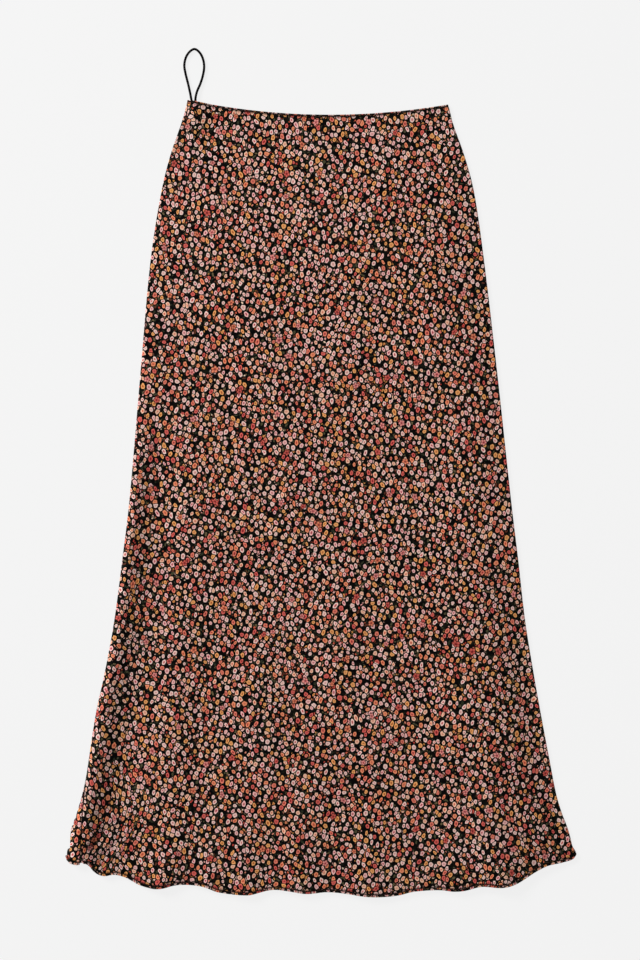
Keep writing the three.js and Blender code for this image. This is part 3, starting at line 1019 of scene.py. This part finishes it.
def stitchTree():
    # a short rounded stitch at every step of a line, lying along it with its back outwards
    inputs = {"Line": "Geometry", "Pitch": "Float", "Length": "Float", "Thickness": "Float"}
    inputs |= {"Seed": "Int", "Thread": "Material"}
    tree, given, result = newTree("GeometryNodeTree", "stitchLine", inputs, {"Stitches": "Geometry"})
    curve = addNode(tree, "GeometryNodeMeshToCurve", {0: given["Line"]}).outputs[0]
    spaced = {"Curve": curve, "Length": given["Pitch"]}
    steps = addNode(tree, "GeometryNodeResampleCurve", spaced, mode="LENGTH")
    kept = {"Name": "outwards"}
    outwards = addNode(tree, "GeometryNodeInputNamedAttribute", kept, data_type="FLOAT_VECTOR")
    tangent = addNode(tree, "GeometryNodeInputTangent").outputs[0]
    axes = {"Primary Axis": tangent, "Secondary Axis": outwards.outputs["Attribute"]}
    turn = addNode(tree, "FunctionNodeAxesToRotation", axes, primary_axis="X", secondary_axis="Z")
    shortest, longest = stitches["uneven"]
    chance = {2: shortest, 3: longest, "Seed": given["Seed"]}
    uneven = addNode(tree, "FunctionNodeRandomValue", chance).outputs[1]
    ball = {"Segments": stitches["sides"], "Rings": stitches["rings"], "Radius": 0.5}
    bead = addNode(tree, "GeometryNodeMeshUVSphere", ball).outputs[0]
    longer = sums(tree, "MULTIPLY", given["Length"], uneven)
    size = {"X": longer, "Y": given["Thickness"], "Z": given["Thickness"]}
    instances = {
        "Points": steps.outputs[0],
        "Instance": bead,
        "Rotation": turn.outputs[0],
        "Scale": addNode(tree, "ShaderNodeCombineXYZ", size).outputs[0],
    }
    placed = addNode(tree, "GeometryNodeInstanceOnPoints", instances).outputs[0]
    real = addNode(tree, "GeometryNodeRealizeInstances", {0: placed}).outputs[0]
    threaded = {"Geometry": real, "Material": given["Thread"]}
    feed(tree, result["Stitches"], addNode(tree, "GeometryNodeSetMaterial", threaded).outputs[0])
    return tree


def threadMaterial():
    constants = {
        "Base Color": linear(*stitches["colour"]),
        "Roughness": stitches["roughness"],
        "Specular IOR Level": stitches["shine"],
    }
    return newMaterial("blackThread", constants)[0]


def makeStitches(name, lines, tree, thread):
    # each line is a row of points in the groove, with the direction out of the cloth at each
    points = np.concatenate([line for line, _ in lines])
    outwards = np.concatenate([out for _, out in lines])
    starts = np.cumsum([0] + [len(line) for line, _ in lines])
    edges = [(i, i + 1) for i in range(len(points) - 1) if i + 1 not in starts]
    guide = bpy.data.meshes.new(name + "Line")
    guide.from_pydata(points, edges, [])
    keep(guide, "outwards", "FLOAT_VECTOR", outwards)
    piece = bpy.data.objects.new(name, guide)
    bpy.context.scene.collection.objects.link(piece)
    sewing = piece.modifiers.new("sewing", "NODES")
    sewing.node_group = tree
    values = {key.capitalize(): stitches[key] for key in ("pitch", "length", "thickness", "seed")}
    values["Thread"] = thread
    for socket in tree.interface.items_tree:
        if socket.in_out == "INPUT" and socket.name in values:
            sewing[socket.identifier] = values[socket.name]
    shown = piece.evaluated_get(bpy.context.evaluated_depsgraph_get())
    mesh = bpy.data.meshes.new_from_object(shown)
    piece.modifiers.clear()
    piece.data = mesh
    mesh.shade_smooth()
    return piece


def stitchLines(outer, out):
    # the hem's line and the waist's, between the side seams
    hemRow = -1 - grid["hemSteps"].index(finish["hem"]["stitched"])
    waistRow = grid["waistSteps"].index(finish["waist"]["stitched"])
    lift = stitches["raised"] * stitches["thickness"]
    return [(outer[row, 1:-1] + out[row, 1:-1] * lift, out[row, 1:-1]) for row in (hemRow, waistRow)]


printGround = {
    "dark": (5, 4, 4),
    "soft": (22, 23, 16),
    "patches": 190,
    "patchRange": (0.45, 0.68),
    "lattice": 0.47,  # how far the rows that the motifs are scattered from are turned
    "dealt": (0.7549, 0.5698, 0),  # the step in tone from a motif to its neighbours
    "astray": 0.35,
    "strays": ((0.31, 0, 0.3), (1.6, 1, 0.2)),  # scale, detail and amount by which the rows wander
    "longest": (0.1, 1.8),  # the least and the further part of a layer's lengthening
    "apart": (17.3, 5.1, 0),  # how far from a motif's middle its second three chances are read
    "blend": 0.08,  # how softly a motif gives way where it meets a neighbour
    "softEdge": 0.03,
    "edgeShade": 0.84,
    "edgeReach": 0.2,
    "veinReach": 0.2,
    "strongFrom": 0.6,  # the share of motifs whose middle is fainter than full
    "dullest": 0.84,
    "brightest": 1.02,
}

# each layer of the print, from the ground up: cells in metres, sizes and gaps as parts of a cell. centre
# is where a motif's middle colour begins and is full, centreLeast how strong the faintest one is, and each
# tone has the share where it starts, a petal colour and a middle colour
printLayers = [
    {
        "name": "leaves",
        "cell": 0.0056, "shift": (3.1, 7.7, 0), "spread": 0.7, "lengthen": 2.2, "small": 0.2, "large": 0.38,
        "gap": 0.08, "ruffle": 0.05, "turn": 3, "kept": 0.8, "halo": 0, "vein": 0.8,
        "centre": (0, 0.7), "centreLeast": 1,
        "tones": [
            (0, (80, 78, 56), (60, 58, 36)),
            (0.3, (48, 52, 38), (36, 40, 28)),
            (0.6, (112, 98, 70), (84, 74, 50)),
            (0.8, (100, 56, 40), (58, 30, 24)),
        ],
    },
    {
        "name": "buds",
        "cell": 0.0043, "shift": (11.4, 2.2, 0), "spread": 0.7, "lengthen": 1.5, "small": 0.17, "large": 0.31,
        "gap": 0.2, "ruffle": 0.03, "turn": 2, "kept": 0.4, "halo": 0.14, "vein": 0.95,
        "centre": (0.2, 0.7), "centreLeast": 0.6,
        "tones": [
            (0, (232, 153, 127), (200, 101, 82)),
            (0.22, (222, 109, 80), (172, 54, 38)),
            (0.4, (214, 151, 84), (168, 97, 42)),
            (0.54, (240, 186, 175), (206, 113, 108)),
            (0.78, (198, 74, 63), (132, 31, 34)),
            (0.88, (240, 215, 190), (214, 163, 124)),
        ],
    },
    {
        "name": "smallFlowers",
        "cell": 0.0058, "shift": (6.2, 4.4, 0), "spread": 0.75, "lengthen": 1.5, "small": 0.26, "large": 0.38,
        "gap": 0.12, "ruffle": 0.05, "turn": 1.4, "kept": 0.24, "halo": 0.14, "vein": 0.9,
        "centre": (0.2, 0.75), "centreLeast": 0.6,
        "tones": [
            (0, (246, 204, 191), (188, 81, 84)),
            (0.34, (240, 173, 167), (170, 58, 72)),
            (0.5, (232, 146, 103), (176, 64, 44)),
            (0.66, (222, 151, 87), (160, 87, 42)),
            (0.8, (208, 85, 72), (130, 27, 34)),
            (0.88, (246, 200, 171), (196, 89, 65)),
        ],
    },
    {
        "name": "flowers",
        "cell": 0.0074, "shift": (0, 0, 0), "spread": 0.64, "lengthen": 1.46, "small": 0.25, "large": 0.4,
        "gap": 0.13, "ruffle": 0.04, "turn": 1.2, "kept": 1, "halo": 0.19, "vein": 0.92,
        "centre": (0.22, 0.86), "centreLeast": 0.5,
        "tones": [
            (0, (250, 216, 205), (184, 76, 78)),
            (0.3, (250, 198, 192), (166, 58, 72)),
            (0.46, (244, 174, 108), (170, 88, 40)),
            (0.56, (246, 154, 114), (180, 62, 44)),
            (0.67, (238, 134, 110), (146, 36, 42)),
            (0.77, (250, 202, 174), (198, 88, 62)),
            (0.945, (226, 106, 96), (128, 24, 30)),
        ],
    },
    {
        "name": "blooms",
        "cell": 0.024, "shift": (5.3, 1.9, 0), "spread": 0.9, "lengthen": 1.15, "small": 0.11, "large": 0.145,
        "gap": 0.02, "ruffle": 0.14, "turn": 2, "kept": 0.25, "halo": 0.04, "vein": 0.5,
        "centre": (0.1, 0.7), "centreLeast": 1,
        "tones": [
            (0, (232, 147, 139), (150, 43, 55)),
            (0.45, (208, 95, 84), (120, 25, 32)),
            (0.75, (232, 136, 103), (150, 48, 38)),
        ],
    },
]


def motifGroup():
    # scatters small ovals or flowers: where each is, how far in from its edge, and its random tones
    inputs = {"Place": "Vector", "Shift": "Vector"}
    for label in ("Cell", "Spread", "Lengthen", "Small", "Large", "Gap", "Ruffle", "Turn", "Kept", "Halo"):
        inputs[label] = "Float"
    outputs = dict.fromkeys(("Shape", "Halo", "Inwards", "Petal", "Tone", "Shade"), "Float")
    group, given, result = newTree("ShaderNodeTree", "printedMotif", inputs, outputs)
    scale = sums(group, "DIVIDE", 1, given["Cell"])
    inCells = vectorSums(group, "SCALE", given["Place"], scale=scale)
    inCells = rotated(group, inCells, printGround["lattice"])
    inCells = vectorSums(group, "ADD", inCells, given["Shift"])
    strays = []
    for scale, detail, amount in printGround["strays"]:
        inputs = {"Vector": inCells, "Scale": scale, "Detail": detail}
        noise = addNode(group, "ShaderNodeTexNoise", inputs, noise_dimensions="2D")
        moved = vectorSums(group, "SUBTRACT", noise.outputs["Color"], (0.5, 0.5, 0.5))
        strays.append(vectorSums(group, "SCALE", moved, scale=amount))
    for stray in strays:
        inCells = vectorSums(group, "ADD", inCells, stray)
    voronoi = {"Vector": inCells, "Scale": 1, "Randomness": given["Spread"]}
    nearest = addNode(group, "ShaderNodeTexVoronoi", voronoi, voronoi_dimensions="2D")
    middle = nearest.outputs["Position"]
    flat = {"voronoi_dimensions": "2D", "feature": "DISTANCE_TO_EDGE"}
    border = addNode(group, "ShaderNodeTexVoronoi", voronoi, **flat)
    chance = addNode(group, "ShaderNodeTexWhiteNoise", {"Vector": middle}, noise_dimensions="2D")
    chances = addNode(group, "ShaderNodeSeparateColor", {0: chance.outputs["Color"]}).outputs
    again = vectorSums(group, "ADD", middle, printGround["apart"])
    second = addNode(group, "ShaderNodeTexWhiteNoise", {"Vector": again}, noise_dimensions="2D")
    seconds = addNode(group, "ShaderNodeSeparateColor", {0: second.outputs["Color"]}).outputs
    away = vectorSums(group, "SUBTRACT", inCells, middle)
    tilt = sums(group, "MULTIPLY", sums(group, "SUBTRACT", seconds[0], 0.5), given["Turn"])
    away = rotated(group, away, sums(group, "SUBTRACT", -printGround["lattice"], tilt))
    parts = addNode(group, "ShaderNodeSeparateXYZ", {0: away}).outputs
    longer = sums(group, "SUBTRACT", given["Lengthen"], 1)
    least, further = printGround["longest"]
    share = sums(group, "ADD", least, sums(group, "MULTIPLY", chances[0], further))
    slim = sums(group, "SQRT", sums(group, "ADD", sums(group, "MULTIPLY", longer, share), 1))
    acrossIt = sums(group, "MULTIPLY", parts[0], slim)
    alongIt = sums(group, "DIVIDE", parts[1], slim)
    squared = sums(group, "MULTIPLY", acrossIt, acrossIt)
    squared = sums(group, "ADD", squared, sums(group, "MULTIPLY", alongIt, alongIt))
    angle = sums(group, "ARCTAN2", alongIt, acrossIt)
    fiveFold = sums(group, "MULTIPLY", seconds[1], 2 * math.pi)
    fiveFold = sums(group, "ADD", sums(group, "MULTIPLY", angle, 5), fiveFold)
    petal = sums(group, "COSINE", fiveFold)
    ruffled = sums(group, "ADD", 1, sums(group, "MULTIPLY", petal, given["Ruffle"]))
    reach = sums(group, "SUBTRACT", given["Large"], given["Small"])
    reach = sums(group, "ADD", given["Small"], sums(group, "MULTIPLY", reach, chances[1]))
    reach = sums(group, "MULTIPLY", reach, ruffled)
    inside = sums(group, "SUBTRACT", reach, sums(group, "SQRT", squared))
    room = sums(group, "SUBTRACT", border.outputs["Distance"], sums(group, "MULTIPLY", given["Gap"], 0.5))
    depth = sums(group, "SMOOTH_MIN", inside, room, printGround["blend"])
    kept = sums(group, "LESS_THAN", chances[2], given["Kept"])
    soft = printGround["softEdge"]
    shape = sums(group, "MULTIPLY", ranged(group, depth, -soft, soft), kept)
    halo = ranged(group, sums(group, "ADD", depth, given["Halo"]), -soft, soft)
    feed(group, result["Shape"], shape)
    feed(group, result["Halo"], sums(group, "MULTIPLY", halo, kept))
    feed(group, result["Inwards"], sums(group, "DIVIDE", depth, reach))
    feed(group, result["Petal"], petal)
    # the tones are dealt out in turn, so that neighbours mostly differ
    deal = {0: vectorSums(group, "FLOOR", middle), 1: printGround["dealt"]}
    dealt = addNode(group, "ShaderNodeVectorMath", deal, operation="DOT_PRODUCT").outputs["Value"]
    dealt = sums(group, "ADD", dealt, sums(group, "MULTIPLY", seconds[2], printGround["astray"]))
    feed(group, result["Tone"], sums(group, "FRACT", dealt))
    feed(group, result["Shade"], chance.outputs["Value"])
    return group


def toneRamp(tree, tone, colours):
    ramp = tree.nodes.new("ShaderNodeValToRGB")
    ramp.color_ramp.interpolation = "CONSTANT"
    marks = ramp.color_ramp.elements
    while len(marks) > 1:
        marks.remove(marks[-1])
    marks[0].position = 0
    marks[0].color = linear(*colours[0][1])
    for position, colour in colours[1:]:
        marks.new(position).color = linear(*colour)
    feed(tree, ramp.inputs[0], tone)
    return ramp.outputs[0]


def darkened(tree, colour, shade):
    grey = addNode(tree, "ShaderNodeCombineColor", {0: shade, 1: shade, 2: shade}).outputs[0]
    return blended(tree, 1.0, colour, grey, "MULTIPLY")


def printGroup():
    # the whole print: ground, leaves, buds, flowers and a few larger blooms
    outputs = {"Color": "Color", "Ink": "Float"}
    group, given, result = newTree("ShaderNodeTree", "ditsyPrint", {"Place": "Vector"}, outputs)
    motif = motifGroup()
    patchy = {"Vector": given["Place"], "Scale": printGround["patches"], "Detail": 2}
    patches = addNode(group, "ShaderNodeTexNoise", patchy)
    share = ranged(group, patches.outputs["Fac"], *printGround["patchRange"])
    dark = linear(*printGround["dark"])
    colour = blended(group, share, dark, linear(*printGround["soft"]))
    ink = None
    for layer in printLayers:
        settings = {"Place": given["Place"]}
        for socket in motif.interface.items_tree:
            if socket.in_out == "INPUT" and socket.name != "Place":
                settings[socket.name] = layer[socket.name.lower()]
        drawn = useGroup(group, motif, settings, layer["name"])
        petals = toneRamp(group, drawn["Tone"], [(start, petal) for start, petal, _ in layer["tones"]])
        centres = toneRamp(group, drawn["Tone"], [(start, centre) for start, _, centre in layer["tones"]])
        inner, outer = layer["centre"]
        within = ranged(group, drawn["Inwards"], 1 - outer, 1 - inner)
        strength = ranged(group, drawn["Shade"], 0, printGround["strongFrom"], layer["centreLeast"], 1)
        flower = blended(group, sums(group, "MULTIPLY", within, strength), petals, centres)
        edge = ranged(group, drawn["Inwards"], 0, printGround["edgeReach"], printGround["edgeShade"], 1)
        veins = ranged(group, drawn["Petal"], -1, printGround["veinReach"], layer["vein"], 1)
        uneven = ranged(group, drawn["Shade"], 0, 1, printGround["dullest"], printGround["brightest"])
        shade = sums(group, "MULTIPLY", uneven, sums(group, "MULTIPLY", veins, edge))
        flower = darkened(group, flower, shade)
        colour = blended(group, drawn["Halo"], colour, dark) if layer["halo"] else colour
        colour = blended(group, drawn["Shape"], colour, flower)
        ink = drawn["Shape"] if ink is None else sums(group, "MAXIMUM", ink, drawn["Shape"])
    feed(group, result["Color"], colour)
    feed(group, result["Ink"], ink)
    return group


cloth = {
    "pebble": 0.0013,
    "pebbleRoughness": 0.6,
    "pebbleRange": (0.3, 0.7),
    "thread": 0.00045,
    "weaveShare": 0.12,
    "fleck": (0.93, 1.04),
    "wrongSide": (120, 104, 96),  # the print is paler on the wrong side
    "paler": 0.5,
    "groundRoughness": 0.9,
    "inkRoughness": 0.8,
    "shine": 0.04,
    "sheen": 0.015,
    "sheenRoughness": 0.5,
    "relief": 0.3,
    "reliefDepth": 0.0003,
}


def crepeGroup():
    # the pebbled surface of a crepe with a fine slanting weave
    inputs = {"Place": "Vector", "Pebble": "Float", "Thread": "Float"}
    outputs = {"Height": "Float", "Fleck": "Float"}
    group, given, result = newTree("ShaderNodeTree", "crepeWeave", inputs, outputs)
    pebbled = vectorSums(group, "SCALE", given["Place"], scale=sums(group, "DIVIDE", 1, given["Pebble"]))
    rough = {"Vector": pebbled, "Scale": 1, "Detail": 2, "Roughness": cloth["pebbleRoughness"]}
    pebbles = addNode(group, "ShaderNodeTexNoise", rough)
    onBias = rotated(group, given["Place"], math.pi / 4)
    threads = vectorSums(group, "SCALE", onBias, scale=sums(group, "DIVIDE", 2 * math.pi, given["Thread"]))
    parts = addNode(group, "ShaderNodeSeparateXYZ", {0: threads}).outputs
    woven = sums(group, "MULTIPLY", sums(group, "SINE", parts[0]), sums(group, "SINE", parts[1]))
    woven = sums(group, "MULTIPLY", woven, cloth["weaveShare"])
    feed(group, result["Height"], sums(group, "ADD", pebbles.outputs["Fac"], woven))
    # the colour is a little darker where the pebbled surface is lower and lighter where it is higher
    fleck = ranged(group, pebbles.outputs["Fac"], *cloth["pebbleRange"], *cloth["fleck"])
    feed(group, result["Fleck"], fleck)
    return group


def clothMaterial(prints, crepe):
    constants = {
        "Specular IOR Level": cloth["shine"],
        "Sheen Weight": cloth["sheen"],
        "Sheen Roughness": cloth["sheenRoughness"],
    }
    material, tree, shader = newMaterial("printCloth", constants)
    known = addNode(tree, "ShaderNodeAttribute", attribute_name="clothPlace").outputs["Vector"]
    parts = addNode(tree, "ShaderNodeSeparateXYZ", {0: known}).outputs
    place = addNode(tree, "ShaderNodeCombineXYZ", {0: parts[0], 1: parts[1]}).outputs[0]
    groove = addNode(tree, "ShaderNodeAttribute", attribute_name="groove").outputs["Fac"]
    printed = useGroup(tree, prints, {"Place": place})
    sizes = {"Place": place, "Pebble": cloth["pebble"], "Thread": cloth["thread"]}
    weave = useGroup(tree, crepe, sizes)
    # painted shade: the groove attribute darkens the print along the stitched lines, at the seam and in the
    # front's fold bands
    keptAfterPaintedShade = sums(tree, "SUBTRACT", 1, sums(tree, "MULTIPLY", groove, finish["paintedShadeStrength"]))
    colour = darkened(tree, printed["Color"], sums(tree, "MULTIPLY", weave["Fleck"], keptAfterPaintedShade))
    faded = blended(tree, cloth["paler"], printed["Color"], linear(*cloth["wrongSide"]))
    feed(tree, shader.inputs["Base Color"], blended(tree, parts[2], colour, faded))
    roughness = ranged(tree, printed["Ink"], 0, 1, cloth["groundRoughness"], cloth["inkRoughness"])
    feed(tree, shader.inputs["Roughness"], roughness)
    addRelief(tree, shader, cloth["relief"], cloth["reliefDepth"], weave["Height"])
    return material


printCloth = clothMaterial(printGroup(), crepeGroup())
frontPiece, frontOuter, frontOut = makePanel(
    "frontPanel", frontPlaces(), frontCreases, printCloth, isFront=True, seed=3
)
backPiece, backOuter, backOut = makePanel(
    "backPanel", backPlaces(), backCreases, printCloth, isFront=False, seed=8
)
print("panels made")

sewing = stitchTree()
thread = threadMaterial()
frontStitches = makeStitches("frontStitches", stitchLines(frontOuter, frontOut), sewing, thread)
backStitches = makeStitches("backStitches", stitchLines(backOuter, backOut), sewing, thread)
print("stitches made")

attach(frontPiece, "root")
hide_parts("front_panel")
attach(backPiece, "root")
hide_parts("back_panel")
for stitched in (frontStitches, backStitches):
    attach(stitched, "root")
